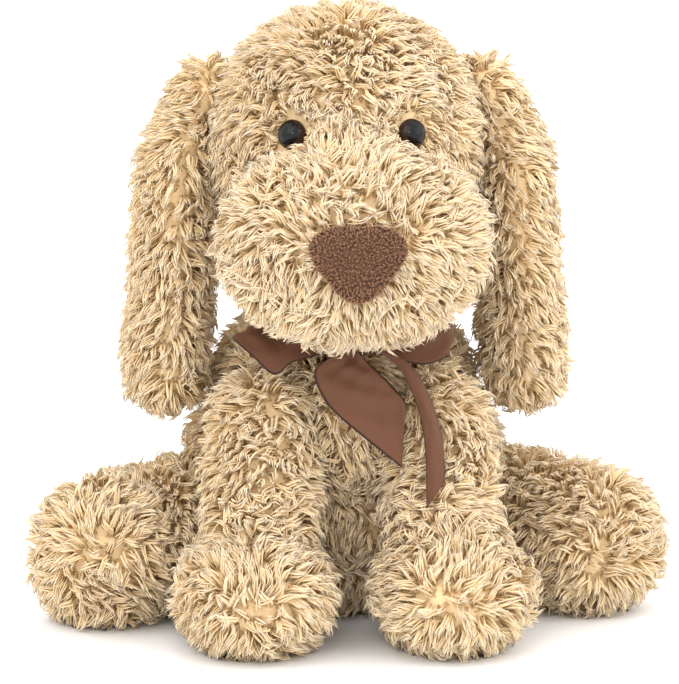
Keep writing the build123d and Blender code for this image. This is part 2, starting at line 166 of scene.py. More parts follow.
def turned(rings, first, last):
    """Points and faces of a closed form: rings of points in order, with one point at each end."""
    along, around = rings.shape[:2]
    points = np.concatenate([rings.reshape(-1, 3), [first], [last]])
    i, j = np.meshgrid(np.arange(along - 1), np.arange(around), indexing="ij")
    k = (j + 1) % around
    quads = np.stack([i * around + j, i * around + k, (i + 1) * around + k, (i + 1) * around + j], -1)
    j = np.arange(around)
    k = (j + 1) % around
    end = (along - 1) * around
    caps = np.concatenate(
        [
            np.stack([np.full(around, len(points) - 2), k, j], -1),
            np.stack([np.full(around, len(points) - 1), end + j, end + k], -1),
        ]
    )
    return points, quads.reshape(-1, 4), caps


def limb(start, end, start_radius, end_radius, flat=1.0, around=40, along=30):
    """Two balls and the cone that touches both: a profile turned about the line, wider or thinner along Y."""
    start, end = np.array(start, float), np.array(end, float)
    length = np.linalg.norm(end - start)
    axis = (end - start) / length
    side = unit(np.cross(axis, (0.1, 0.2, 1)))
    up = np.cross(axis, side)
    lean = np.arcsin((start_radius - end_radius) / length)
    t = np.linspace(0, 1, along // 2 + 1)[1:]
    first_arc = np.pi - t * (np.pi / 2 + lean)
    last_arc = (np.pi / 2 - lean) * (1 - t)[:-1]
    reach = np.concatenate([start_radius * np.cos(first_arc), length + end_radius * np.cos(last_arc)])
    width = np.concatenate([start_radius * np.sin(first_arc), end_radius * np.sin(last_arc)])
    turn = np.linspace(0, 2 * np.pi, around, endpoint=False)
    circle = np.cos(turn)[:, None] * side + np.sin(turn)[:, None] * up
    rings = start + reach[:, None, None] * axis + width[:, None, None] * circle
    ends = [start - start_radius * axis, end + end_radius * axis]
    middle = (start[1] + end[1]) / 2
    for points in (rings, *ends):
        points[..., 1] = middle + (points[..., 1] - middle) * flat
    return turned(rings, *ends)


def egg(centre, radii, squareness=1.0, around=44, along=28):
    """A ball drawn out to three radii. Powers under 1 of the sine and cosine square its outline off."""
    v = np.linspace(-np.pi / 2, np.pi / 2, along + 2)[1:-1]
    u = np.linspace(0, 2 * np.pi, around, endpoint=False)
    wide = np.abs(np.cos(v)) ** squareness
    high = np.sign(np.sin(v)) * np.abs(np.sin(v)) ** squareness
    rings = np.stack(
        [wide[:, None] * np.cos(u), wide[:, None] * np.sin(u), high[:, None] * np.ones(around)], -1
    )
    centre, radii = np.array(centre, float), np.array(radii, float)
    pole = np.array((0, 0, 1.0))
    return turned(centre + rings * radii, centre - pole * radii, centre + pole * radii)


def joined(name, *forms):
    """Several closed forms in one object, still separate shells."""
    points, quads, caps, start = [], [], [], 0
    for p, q, c in forms:
        points.append(p)
        quads.append(q + start)
        caps.append(c + start)
        start += len(p)
    scaled = np.concatenate(points) * MM
    return make_object(name, scaled, [np.concatenate(quads), np.concatenate(caps)])


# %% [markdown]
# ## Stuffed forms
# Stuffing pushes cloth outwards until it is tight, so a stuffed piece has no hard valley where two shapes
# meet. The shells are first melted into one skin by a voxel remesh. Blender's cloth then blows the skin up a
# little with pressure, as fibre does, and the result is kept as plain geometry. How far a point may move is
# capped, because the piece has to stay clear of its neighbours.

# %% Stuffing a skin
def coordinates(obj):
    """The object's points as an array."""
    points = np.empty(len(obj.data.vertices) * 3, np.float32)
    obj.data.vertices.foreach_get("co", points)
    return points.reshape(-1, 3).astype(float)


def keep_result(obj):
    """Replace the object's mesh by what its modifiers make of it."""
    depsgraph = bpy.context.evaluated_depsgraph_get()
    depsgraph.update()
    result = bpy.data.meshes.new_from_object(obj.evaluated_get(depsgraph))
    obj.modifiers.clear()
    obj.data = result


def stuff(obj, voxel, pressure=4.0, most=3.0, frames=20):
    """Melt the shells into one skin, blow it up as cloth and keep it. Sizes are in millimetres."""
    melt = obj.modifiers.new("melt", "REMESH")
    melt.mode, melt.voxel_size, melt.use_smooth_shade = "VOXEL", voxel * MM, True
    keep_result(obj)
    soften = obj.modifiers.new("soften", "SMOOTH")
    soften.factor, soften.iterations = 0.5, 6
    keep_result(obj)
    before = coordinates(obj)
    cloth = obj.modifiers.new("cloth", "CLOTH")
    cloth.settings.quality = 3
    cloth.settings.mass = 0.2
    cloth.settings.use_pressure = True
    cloth.settings.uniform_pressure_force = pressure
    cloth.settings.effector_weights.gravity = 0
    cloth.collision_settings.use_collision = False
    cloth.point_cache.frame_end = frames
    for step in range(1, frames + 1):
        bpy.context.scene.frame_set(step)
    keep_result(obj)
    bpy.context.scene.frame_set(1)
    move = coordinates(obj) - before
    far = np.linalg.norm(move, axis=1, keepdims=True)
    after = before + move * np.minimum(1, most * MM / np.maximum(far, 1e-9))
    after[:, 2] = np.maximum(after[:, 2], sole_height * MM)
    obj.data.vertices.foreach_set("co", after.astype(np.float32).ravel())
    obj.data.update()
    round_off = obj.modifiers.new("round off", "SUBSURF")
    round_off.levels = round_off.render_levels = 1
    obj.data.polygons.foreach_set("use_smooth", np.ones(len(obj.data.polygons), bool))
    print(obj.name, len(obj.data.polygons), "faces")
    return obj


skin_depth = 3.0  # the skin lies this far inside the pressed pile that the jointed model shows
sole_height = 3.5  # no skin comes nearer to the floor than this


# %% [markdown]
# ## Where the pieces are
# The joints give the places of the balls that the limbs turn on, and the covers' boxes give the size of the
# head and the torso. The rest of each form is chosen in millimetres from those places.

# %% Places, in millimetres
def box_mm(*nodes):
    """Lowest and highest corner of some nodes together, in millimetres."""
    boxes = [np.array(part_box(node), float).reshape(2, 3) / MM for node in nodes]
    return np.min([b[0] for b in boxes], 0), np.max([b[1] for b in boxes], 0)


def joint_mm(name):
    """A joint's pivot, in millimetres."""
    return np.array(next(j for j in frame["joints"] if j["name"] == name)["pos_m"]) / MM


skull_low, skull_high = box_mm("head_cover_back")
skull_radius = (skull_high[0] - skull_low[0]) / 2
skull = np.array([0, skull_low[1], skull_high[2] - skull_radius])
muzzle_low, muzzle_high = box_mm("muzzle_cover_left", "muzzle_cover_right")
muzzle_radius = (muzzle_high[2] - muzzle_low[2]) / 2
muzzle = np.array([0, muzzle_low[1] + muzzle_radius, muzzle_low[2] + muzzle_radius])
torso_high = box_mm("torso_cover_left", "torso_cover_right")[1]
neck = joint_mm("neck_turn")
torso_y = neck[1] + 20
sides = ((1, "left"), (-1, "right"))
print("skull", skull, skull_radius, "muzzle", muzzle, muzzle_radius)

# %% Skins of head, neck, torso and tail
head_skin = joined(
    "head_skin",
    egg(skull, np.full(3, skull_radius - skin_depth)),
    egg(muzzle, (muzzle_high[0], muzzle_radius - skin_depth, muzzle_radius - skin_depth + 2)),
    egg(muzzle + (0, 22, 8), (42, 27, 32)),
)
neck_skin = joined("neck_skin", egg(neck + (0, 0, -4), (24, 24, 22)))
torso_radius = torso_high[1] - torso_y - skin_depth
torso_skin = joined(
    "torso_skin",
    egg(
        (0, torso_y, (torso_high[2] - 1) / 2),
        (torso_radius, torso_radius, torso_high[2] / 2 - skin_depth),
        squareness=0.52,
    ),
    egg((0, torso_y - 38, 86), (17, 28, 29)),
    *(egg((32 * side, torso_y - 2, 58), (28, 31, 28)) for side, _ in sides),
)
tail_root = joint_mm("tail_wag")
tail_skin = joined("tail_skin", limb(tail_root, tail_root + (0, 20, 11.5), 8, 6))


# %% Skins of the legs and ears
def mirrored(side, point):
    """The point on the left, or its reflection on the right."""
    return np.array([side * point[0], point[1], point[2]])


paw_x = 39.5  # a front paw's middle lies this far to its side
foot_reach = (46, -34, -6)  # from a hip to the middle of its foot
leg_skins, ear_skins = {}, {}
for side, name in sides:
    shoulder = joint_mm(f"front_leg_{name}_lift")
    paw_low = box_mm(f"front_leg_{name}_outer", f"front_leg_{name}_inner")[0]
    paw = np.array([paw_x * side, paw_low[1] + 36, 22])
    leg_skins[f"front_leg_{name}"] = joined(
        f"front_leg_{name}_skin",
        limb(shoulder, paw, 18.5, 17),
        egg(paw, (27.5, 33, 19)),
    )
    hip = joint_mm(f"hind_leg_{name}_splay")
    foot = hip + mirrored(side, foot_reach)
    leg_skins[f"hind_leg_{name}"] = joined(f"hind_leg_{name}_skin", limb(hip, foot, 23, 25.5))
    hinge = joint_mm(f"ear_{name}_flap")
    bend = hinge + mirrored(side, (12, 0, -33))
    tip = bend + mirrored(side, (5, 0, -84))
    ear_skins[f"ear_{name}"] = joined(
        f"ear_{name}_skin",
        limb(hinge, bend, 6.0, 10.0, flat=1.95),
        limb(bend, tip, 10.0, 11.5, flat=1.95),
    )

# %% Stuff them all
stuff(head_skin, 4.5, most=2.0)
stuff(neck_skin, 4.5, most=1.0)
stuff(torso_skin, 5.0, most=2.5)
stuff(tail_skin, 2.0, most=0.5)
for skin in leg_skins.values():
    stuff(skin, 4.0, most=2.0)
for skin in ear_skins.values():
    stuff(skin, 2.5, pressure=1.0, most=1.0)


# %% [markdown]
# ## Locks of pile
# Each lock is a handful of fibres that leave the cloth close together, lean over the way the pile is combed,
# curl and draw together. A fibre here is a three-sided taper, closed at both ends: a small triangle carried
# along a path.
# The path rises along the cloth's normal, bends over towards the comb direction and winds round itself, and a
# fibre's distance from the middle of its lock shrinks towards the tip. All fibres of a piece are one array.
# The map of each fibre holds two numbers that its colour needs: the shade of its lock, and how far up it a
# point is.

# %% Sampling a skin
def scatter(skin, spacing, seed):
    """Points on a skin, in millimetres, each with its normal, about one for each square of the spacing. Many
    are drawn and only the first in each little cube of space is kept, so none stand on one another."""
    mesh = skin.data
    mesh.calc_loop_triangles()
    corners = np.empty(len(mesh.loop_triangles) * 3, np.int32)
    mesh.loop_triangles.foreach_get("vertices", corners)
    corners = corners.reshape(-1, 3)
    points = coordinates(skin) / MM
    normals = np.empty(len(mesh.vertices) * 3, np.float32)
    mesh.vertices.foreach_get("normal", normals)
    normals = normals.reshape(-1, 3).astype(float)
    a, b, c = (points[corners[:, i]] for i in range(3))
    areas = np.linalg.norm(np.cross(b - a, c - a), axis=1) / 2
    rng = np.random.default_rng(seed)
    count = int(6 * areas.sum() / spacing**2)
    # evenly stepped draws over the summed areas spread better than independent ones
    draws = (np.arange(count) + rng.random(count)) / count * areas.sum()
    pick = np.searchsorted(np.cumsum(areas), draws).clip(0, len(areas) - 1)
    r = rng.random((count, 2))
    fold = r.sum(1) > 1
    r[fold] = 1 - r[fold]
    weights = np.stack([1 - r.sum(1), r[:, 0], r[:, 1]], 1)[:, :, None]
    picked = corners[pick]
    roots, out = (points[picked] * weights).sum(1), unit((normals[picked] * weights).sum(1))
    order = rng.permutation(count)
    cubes = np.floor(roots[order] / (spacing * 1.2)).astype(int)
    first = order[np.unique(cubes, axis=0, return_index=True)[1]]
    print(skin.name, round(areas.sum()), "square mm,", len(first), "roots")
    return roots[first], out[first], rng


def ripple(points, wave, shift):
    """A smooth wandering value from -1 to 1: three sines of the place, each across another direction."""
    x, y, z = (points / wave).T
    first = np.sin(2.1 * x + 1.3 * y + shift)
    second = np.sin(1.7 * y - 2.3 * z + 2 * shift)
    third = np.sin(1.9 * z + 1.1 * x + 3 * shift)
    return (first + second + third) / 3


# %% Growing locks
heights = np.array([0.0, 0.38, 0.72, 1.0])  # where a fibre's rings and its tip lie along it


def grow_locks(name, roots, normals, rng, comb, length, lean=1.5, fibres=5, thick=0.47, curl=1.4, spread=2.0,
               shade=0.5):
    """Fibres of every lock at once: root + rise along the normal + bend along the comb + a winding offset.
    The comb is a direction per root, and length, lean and shade may be one value or one per root."""
    locks = len(roots)
    length = np.broadcast_to(length, locks) * rng.uniform(0.82, 1.15, locks)
    lean = np.broadcast_to(lean, locks) * rng.uniform(0.7, 1.25, locks)
    comb = unit(comb - (comb * normals).sum(1, keepdims=True) * normals)
    across = np.cross(normals, comb)
    s = heights[None, :, None]
    bend = np.minimum(lean, 1.8)[:, None, None]
    rise = np.sin(bend * s) / np.maximum(bend, 1e-3)
    run = (1 - np.cos(bend * s)) / np.maximum(bend, 1e-3)
    guide = roots[:, None] + length[:, None, None] * (rise * normals[:, None] + run * comb[:, None])
    turns = rng.uniform(0.4, 0.9, locks)[:, None] * rng.choice([-1, 1], locks)[:, None]
    phase = rng.uniform(0, 2 * np.pi, locks)[:, None]
    wind = 2 * np.pi * turns * heights + phase
    size = curl * np.sin(np.pi * np.minimum(heights * 0.8, 1))[None]
    tip_side = unit(normals[:, None] * np.sin(bend * s) * -1 + comb[:, None] * np.cos(bend * s))
    guide = guide + (size * np.cos(wind))[..., None] * across[:, None]
    guide = guide + (size * np.sin(wind))[..., None] * tip_side
    # the fibres of a lock: an offset across the lock that closes towards the tip
    angle = rng.uniform(0, 2 * np.pi, (locks, fibres))
    reach = spread * np.sqrt(rng.uniform(0, 1, (locks, fibres)))
    offset = np.cos(angle)[..., None] * reach[..., None] * across[:, None]
    offset = offset + np.sin(angle)[..., None] * reach[..., None] * comb[:, None]
    close = (1 - 0.5 * heights)[None, None, :, None]
    short = rng.uniform(0.74, 1.0, (locks, fibres))[:, :, None, None]
    path = roots[:, None, None] + (guide[:, None] - roots[:, None, None]) * short + offset[:, :, None] * close
    path = path.reshape(-1, len(heights), 3)
    # a small triangle carried along each path
    ahead = unit(np.gradient(path, axis=1))
    side = unit(np.cross(ahead, np.repeat(normals, fibres, 0)[:, None] + 0.01))
    up = np.cross(side, ahead)
    taper = thick * np.array([0.85, 1.0, 0.8])[None, :, None, None]
    corner = np.arange(3) * 2 * np.pi / 3
    corner = corner[None, None, :, None]
    rim = np.cos(corner) * side[:, :3, None] + np.sin(corner) * up[:, :3, None]
    rings = path[:, :3, None] + taper * rim
    points = np.concatenate([rings.reshape(-1, 9, 3), path[:, 3:]], 1)
    points[..., 2] = np.maximum(points[..., 2], floor_gap)
    strands = len(points)
    base = (np.arange(strands) * 10)[:, None, None]
    ring, j = np.meshgrid(np.arange(2), np.arange(3), indexing="ij")
    k = (j + 1) % 3
    quads = np.stack([ring * 3 + j, ring * 3 + 3 + j, ring * 3 + 3 + k, ring * 3 + k], -1).reshape(-1, 4)
    tips = np.array([(7, 6, 9), (8, 7, 9), (6, 8, 9), (0, 1, 2)])
    # map: across is the lock's shade and a little for each side, up is how far along the fibre
    tone = np.clip(np.broadcast_to(shade, locks) + rng.normal(0, 0.13, locks), 0, 1) * 0.93 + 0.01
    tone = np.repeat(tone, fibres)[:, None]
    step = 0.014
    low = np.repeat(heights[[0, 1]], 3)
    high = np.repeat(heights[[1, 2]], 3)
    sidewise = np.tile(np.arange(3) * step, 2)
    quad_u = np.stack([sidewise, sidewise, sidewise + step, sidewise + step], -1)
    quad_v = np.stack([low, high, high, low], -1)
    tip_u = np.array([(1, 0, 0.5), (2, 1, 1.5), (3, 2, 2.5), (0, 1, 0)]) * step
    tip_v = np.array([(heights[2], heights[2], 1)] * 3 + [(0, 0, 0.02)])
    quad_uv = np.stack([tone[:, :, None] + quad_u, np.broadcast_to(quad_v, (strands, 6, 4))], -1)
    tip_uv = np.stack([tone[:, :, None] + tip_u, np.broadcast_to(tip_v, (strands, 4, 3))], -1)
    uv = np.concatenate([quad_uv.reshape(-1, 2), tip_uv.reshape(-1, 2)])
    obj = make_object(name, points * MM, [(quads + base).reshape(-1, 4), (tips + base).reshape(-1, 3)], uv)
    print(name, locks, "locks,", strands, "fibres,", strands * 16, "triangles")
    return obj


floor_gap = 0.2  # the lowest fibres lie just above the floor
most_fibres = 12000  # in one object
root_spacing = 2.75  # between the locks of the long pile
pile_length = 12.5


def grow_coat(name, roots, normals, rng, comb, length, shade=0.5, lean=1.5, fibres=5, **habit):
    """The locks of one skin, in as many objects as their number asks for, from front to back."""
    order = np.argsort(roots[:, 1])
    count = int(np.ceil(len(roots) * fibres / most_fibres))
    length, shade, lean = (np.broadcast_to(value, len(roots)) for value in (length, shade, lean))
    coat = []
    for number, part in enumerate(np.array_split(order, count)):
        label = name if count == 1 else f"{name}_{number + 1}"
        coat.append(
            grow_locks(
                label, roots[part], normals[part], rng, comb[part], length[part], lean[part], fibres,
                shade=shade[part], **habit,
            )
        )
    return coat


down = np.array((0, 0, -1.0))


def tousled(points, rng, pull=down, wildness=0.9):
    """A comb direction that mostly follows the pull, with slow swirls and a little of every lock's own."""
    swirl = np.stack([ripple(points, 9, 1), ripple(points, 11, 2), ripple(points, 10, 3)], 1)
    own = rng.normal(0, 0.45, points.shape)
    return pull + wildness * 1.6 * swirl + wildness * own


# %% [markdown]
# ## Fur of each piece
# A real toy's pile lies differently on each piece. It hangs on the body and the ears, fans out round a paw
# from a tousled middle, parts at the crown, and is lighter on the muzzle. Locks that would cover an eye or
# the nose are left out, as a toy maker trims them away.

# %% Fur of the head
eye_outward = {name: unit(np.mean(box_mm(f"eye_{name}"), axis=0) - skull) for _, name in sides}
eye_places = {name: skull + outward * skull_radius for name, outward in eye_outward.items()}
nose_low, nose_high = box_mm("nose")
nose_middle = (nose_low + nose_high) / 2

roots, normals, rng = scatter(head_skin, root_spacing, 11)
eye_far = np.min([np.linalg.norm(roots - place, axis=1) for place in eye_places.values()], axis=0)
under_nose = (
    (np.abs(roots[:, 0]) < 15 - (nose_high[2] - roots[:, 2]) * 0.42)
    & (roots[:, 2] > nose_low[2] + 1)
    & (roots[:, 2] < nose_high[2] - 5)
    & (roots[:, 1] < nose_high[1] + 8)
)
in_neck = np.linalg.norm(roots - neck, axis=1) < 24
keep = (eye_far > 6.9) & ~under_nose & ~in_neck
roots, normals, eye_far = roots[keep], normals[keep], eye_far[keep]
on_muzzle = np.clip((skull[1] - 30 - roots[:, 1]) / 25, 0, 1)
crown = skull + (0, -14, skull_radius)
from_crown = unit((roots - crown) * (1, 1, 0.3))
near_crown = np.exp(-(np.linalg.norm(roots - crown, axis=1) / 45) ** 2)[:, None]
from_nose = unit(roots - nose_middle + (0, 6, 0))
near_nose = on_muzzle[:, None]
pull = down * (1 - 0.5 * near_nose) + 1.1 * near_crown * from_crown + 0.9 * near_nose * from_nose
nearest_eye = np.where((roots[:, :1] > 0), eye_places["left"], eye_places["right"])
eye_push = np.exp(-((eye_far / 10) ** 2))[:, None] * 2.5
pull = pull + eye_push * unit(roots - nearest_eye)
length = pile_length - 0.5 * on_muzzle
length = np.where(eye_far < 15, length * np.clip((eye_far - 3) / 12, 0.4, 1), length)
shade = 0.5 + 0.2 * on_muzzle + 0.18 * ripple(roots, 8, 5)
head_fur = grow_coat("head_fur", roots, normals, rng, tousled(roots, rng, pull), length, shade=shade)


# %% Fur of torso, neck and tail
def from_axis(points):
    """How far points lie from the upright line through the torso's middle."""
    return np.hypot(points[:, 0], points[:, 1] - torso_y)


ball_joints = [joint_mm(f"{joint}_{name}_{move}") for _, name in sides for joint, move in
               (("front_leg", "lift"), ("hind_leg", "splay"))]
roots, normals, rng = scatter(torso_skin, root_spacing, 12)
open_air = np.min([np.linalg.norm(roots - ball, axis=1) for ball in ball_joints], axis=0) > 17
roots, normals = roots[open_air], normals[open_air]
chest_pull = down + np.where(roots[:, 1:2] < torso_y - 20, (0, -0.4, 0), (0, 0, 0))
shade = 0.42 + 0.18 * ripple(roots, 8, 5)
torso_fur = grow_coat(
    "torso_fur", roots, normals, rng, tousled(roots, rng, chest_pull), pile_length, shade=shade
)
roots, normals, rng = scatter(neck_skin, 3.6, 13)
neck_fur = grow_coat("neck_fur", roots, normals, rng, tousled(roots, rng), 9, shade=0.4)
roots, normals, rng = scatter(tail_skin, 2.8, 14)
tail_pull = np.array((0, 0.9, 0.2))
tail_fur = grow_coat("tail_fur", roots, normals, rng, tousled(roots, rng, tail_pull), 11, shade=0.45)

# %% Fur of the legs
def middle_of_fan(roots, toe):
    """One at the middle of a paw, where every lock goes its own way, and next to nothing 15 mm away."""
    return np.exp(-((np.linalg.norm((roots - toe) * (1, 0.3, 1), axis=1) / 9) ** 2))


leg_furs, ear_furs = {}, {}
for number, (side, name) in enumerate(sides):
    skin = leg_skins[f"front_leg_{name}"]
    roots, normals, rng = scatter(skin, root_spacing, 21 + number)
    open_air = from_axis(roots) > 38
    roots, normals = roots[open_air], normals[open_air]
    paw_low = box_mm(f"front_leg_{name}_outer", f"front_leg_{name}_inner")[0]
    toe = np.array([paw_x * side, paw_low[1] + 4, 24])
    fan = unit((roots - toe) * (1, 0.4, 1))
    at_toe = np.exp(-(np.linalg.norm((roots - toe) * (1, 0.7, 1), axis=1) / 26) ** 2)[:, None]
    pull = (down * (1 - at_toe) + 1.6 * at_toe * fan) * (1 - middle_of_fan(roots, toe))[:, None]
    leg_furs[f"front_leg_{name}"] = grow_coat(
        f"front_leg_{name}_fur", roots, normals, rng, tousled(roots, rng, pull), pile_length,
        shade=0.5 + 0.16 * ripple(roots, 8, 5) + 0.1 * at_toe[:, 0],
    )
    skin = leg_skins[f"hind_leg_{name}"]
    roots, normals, rng = scatter(skin, root_spacing, 31 + number)
    open_air = from_axis(roots) > 42
    roots, normals = roots[open_air], normals[open_air]
    foot = joint_mm(f"hind_leg_{name}_splay") + mirrored(side, foot_reach)
    toe = foot + mirrored(side, (6, -24, 2))
    fan = unit((roots - toe) * (1, 0.5, 1))
    at_toe = np.exp(-(np.linalg.norm(roots - toe, axis=1) / 28) ** 2)[:, None]
    pull = (down * (1 - at_toe) + 1.6 * at_toe * fan) * (1 - middle_of_fan(roots, toe))[:, None]
    leg_furs[f"hind_leg_{name}"] = grow_coat(
        f"hind_leg_{name}_fur", roots, normals, rng, tousled(roots, rng, pull), pile_length,
        shade=0.5 + 0.16 * ripple(roots, 8, 5) + 0.1 * at_toe[:, 0],
    )
    skin = ear_skins[f"ear_{name}"]
    roots, normals, rng = scatter(skin, root_spacing, 41 + number)
    at_edge = np.clip(-normals[:, 1:2], 0, 1)
    hang = down + mirrored(side, (0.15, 0, 0)) + at_edge * mirrored(side, (0.9, 0, 0))
    ear_furs[f"ear_{name}"] = grow_coat(
        f"ear_{name}_fur", roots, normals, rng, tousled(roots, rng, hang, 0.8), 12,
        shade=0.45 + 0.16 * ripple(roots, 8, 5),
    )


# %% [markdown]
# ## Nose
# The nose is a pad of short fleece, a triangle with round corners, drawn in a little at the middle of its top
# edge. Its outline is a smooth closed curve through a few points of one half and their reflection, and the
# pad is that outline shrunk ring by ring while it comes forward, like a cushion. A short nap stands on it.

# %% Nose
def smooth_path(points, count):
    """A path through a few chosen points: Catmull-Rom, whose pieces are cubics of four neighbours."""
    points = np.array(points, float)
    padded = np.concatenate([[2 * points[0] - points[1]], points, [2 * points[-1] - points[-2]]])
    t = np.linspace(0, len(points) - 1 - 1e-9, count)
    i = t.astype(int)
    f = (t - i)[:, None]
    a, b, c, d = (padded[i + k] for k in range(4))
    return 0.5 * (2 * b + (c - a) * f + (2 * a - 5 * b + 4 * c - d) * f**2 + (3 * b - a - 3 * c + d) * f**3)


def nose_surface(middle, half_width, half_height, depth, around=72, along=16):
    """Round the outline by u, and from the rim to the front by v: the outline is scaled by the cosine of v to
    a power, and pushed forward by the sine of v."""
    half = [(0, 0.94), (0.45, 0.97), (0.82, 0.8), (1, 0.5)]
    half += [(0.93, 0.14), (0.68, -0.34), (0.42, -0.74), (0.19, -0.97)]
    curve = np.array(half + [(0, -1.02)] + [(-x, z) for x, z in half[:0:-1]])
    outline = smooth_path(np.concatenate([curve, curve[:1]]), around + 1)[:-1] * (half_width, half_height)
    v = np.linspace(-0.5, 1, along + 1)[:-1] * np.pi / 2
    size = np.abs(np.cos(v)) ** 0.55
    forward = np.where(v < 0, v / (np.pi / 4) * depth * 0.9, np.sin(v).clip(0) ** 1.3 * depth * 0.45)
    rings = np.zeros((along, around, 3))
    rings[..., 0] = middle[0] + size[:, None] * outline[:, 0]
    rings[..., 2] = middle[2] + size[:, None] * outline[:, 1] - 0.8 * np.sin(v).clip(0)[:, None]
    rings[..., 1] = middle[1] - forward[:, None]
    back = rings[0].mean(0)
    front = rings[-1].mean(0)
    front[1] -= 0.1
    return turned(rings[:, ::-1], back, front)


nose_place = np.array([0, nose_low[1] + 2.5, nose_middle[2] - 1.5])
nose_pad = joined("nose_pad", nose_surface(nose_place, 18.2, 14.2, 10))
fleece_lift = nose_pad.modifiers.new("round off", "SUBSURF")
fleece_lift.levels = fleece_lift.render_levels = 1
roots, normals, rng = scatter(nose_pad, 0.95, 51)
front_side = roots[:, 1] < nose_place[1] + 4
roots, normals = roots[front_side], normals[front_side]
fan = roots - nose_place - (0, 0, -2)
comb = unit(fan) + rng.normal(0, 0.35, fan.shape)
nose_nap = grow_locks(
    "nose_nap", roots, normals, rng, comb, length=2.0, lean=1.1, fibres=3, thick=0.17, curl=0.2, spread=0.5
)


# %% [markdown]
# ## Ribbon
# The bow is one length of ribbon, tied round the neck. Each stretch of it is a thin sheet ruled between two
# edges, each a smooth path through its own points. A loop's edges go out and come back, a tail's hang, and a
# tail's end is cut on the slant by letting one edge run further than the other.

# %% Ribbon strips
def ribbon_strip(name, one_edge, other_edge, bulge=0.0, folds=0.6, thickness=0.5, along=64, wide=15):
    """A strip between two edges: (1 - t) * one + t * other + h * normal, with s along the edges and t across.
    The height h is a bulge, sin(pi t), and creases, a few slanted sines of s and t that fade at the edges."""
    one, other = smooth_path(one_edge, along), smooth_path(other_edge, along)
    t = np.linspace(0, 1, wide)
    s = np.linspace(0, 1, along)[:, None]
    flat = one[:, None] * (1 - t)[None, :, None] + other[:, None] * t[None, :, None]
    ahead = unit(np.gradient(flat, axis=0))
    normal = unit(np.cross(ahead, (other - one)[:, None]))
    creases = np.sin(9 * s + 5 * t) + 0.6 * np.sin(19 * s - 9 * t + 1) + 0.4 * np.sin(34 * s + 14 * t + 2)
    height = bulge * np.sin(np.pi * t) + folds * creases * (0.35 + 0.65 * np.sin(np.pi * t))
    face = flat + normal * height[..., None]
    points = np.stack([face + normal * thickness / 2, face - normal * thickness / 2])
    front, back = np.arange(2 * along * wide).reshape(2, along, wide)
    place = np.stack(np.broadcast_arrays(0.03 + 0.94 * t[None], 0.03 + 0.94 * s), -1).reshape(-1, 2)

    def cells(grid, flip):
        quad = np.stack([grid[:-1, :-1], grid[:-1, 1:], grid[1:, 1:], grid[1:, :-1]], -1)
        return (quad[..., ::-1] if flip else quad).reshape(-1, 4)

    long_edges = (front[:, 0], back[:, 0]), (back[:, -1], front[:, -1])
    edges = *long_edges, (back[0], front[0]), (front[-1], back[-1])
    rim = np.concatenate([np.stack([a[:-1], a[1:], b[1:], b[:-1]], -1) for a, b in edges])
    faces = np.concatenate([cells(front, True), cells(back, False), rim[:, ::-1]])
    uv = np.concatenate([place, place])[faces]
    uv[-len(rim):] += np.array([(0, 0), (0, 0), (1, 1), (1, 1)]) * 0.012
    obj = make_object(name, points * MM, [faces], uv)
    steps_along = np.linalg.norm(np.diff(face, axis=0), axis=2)
    steps_across = np.linalg.norm(np.diff(face, axis=1), axis=2)
    length, width = steps_along.sum(0).max(), steps_across.sum(1).max()
    cell_sides = np.diff(face, axis=0)[:, :-1], np.diff(face, axis=1)[:-1]
    area = np.linalg.norm(np.cross(*cell_sides), axis=2).sum()
    print(f"{name} is {width:.0f} by {length:.0f} mm, {area:.0f} square mm")
    return obj, (width * MM, length * MM), area * MM**2


# %% Neck band, knot, loops and tails
def rows(*numbers):
    """Points of three numbers each, in one array."""
    return np.array(numbers, float).reshape(-1, 3)


ring_low, ring_high = box_mm("neck_ribbon")
knot_low, knot_high = box_mm("bow_knot")
knot = (knot_low + knot_high) / 2
turn = np.linspace(-np.pi / 2, 1.5 * np.pi, 17)
ring_radius = (ring_high[0] - ring_low[0]) / 2 - 0.5
circle = np.stack([ring_radius * np.cos(turn), neck[1] + ring_radius * np.sin(turn), 0 * turn], -1)
bottom, top = circle + (0, 0, ring_low[2]), circle + (0, 0, ring_high[2])
ribbons = {"neck_band": ribbon_strip("neck_band", bottom, top, folds=0.2)}
wrap = np.linspace(0, 2 * np.pi, 13)
belt = np.stack([0 * wrap, 8.6 * np.cos(wrap), 4.9 * np.sin(wrap)], -1)
half_wrap = (7.5, 0, 0)
ribbons["knot_wrap"] = ribbon_strip("knot_wrap", knot + belt + half_wrap, knot + belt - half_wrap, folds=0.3)

# each loop goes out in front and comes back behind, as two edges about the knot
right_low = rows(-7, -10, -1, -17, -11, -3, -26, -13, -5, -33, -15, -9.5, -41, -13, -3, -48.5, -9.5, 3,
                 -48, -6.5, 3.5, -39, -7, -2, -31, -8, -6, -20, -8, -3, -7, -6, -1)
right_high = rows(-6, -6, 4, -14, -4, 6.5, -21, -2, 8, -29, -1, 9, -34, -1, 9, -39, -2.5, 9.5,
                  -38.5, 0.5, 9.5, -30, 2, 9, -22, 3, 8, -14, 1, 6.5, -6, -2, 4)
left_low = rows(7, -10, -1, 15, -11, -4.5, 22, -11, -6.5, 28, -10, -7, 33, -8, -6, 37, -5.5, -4,
                36.5, -2.5, -4, 30, -4, -6, 22, -6, -6, 14, -7, -4, 7, -6, -1)
left_high = rows(6, -6, 4, 13, -4, 6.5, 20, -2, 8, 27, -1, 9, 33, -0.5, 9, 38, 0, 7,
                 37.5, 3, 7, 30, 3, 9, 22, 3, 8, 14, 1, 6.5, 6, -2, 4)
ribbons["bow_loop_right_cloth"] = ribbon_strip("bow_loop_right_cloth", knot + right_low, knot + right_high)
ribbons["bow_loop_left_cloth"] = ribbon_strip("bow_loop_left_cloth", knot + left_low, knot + left_high)

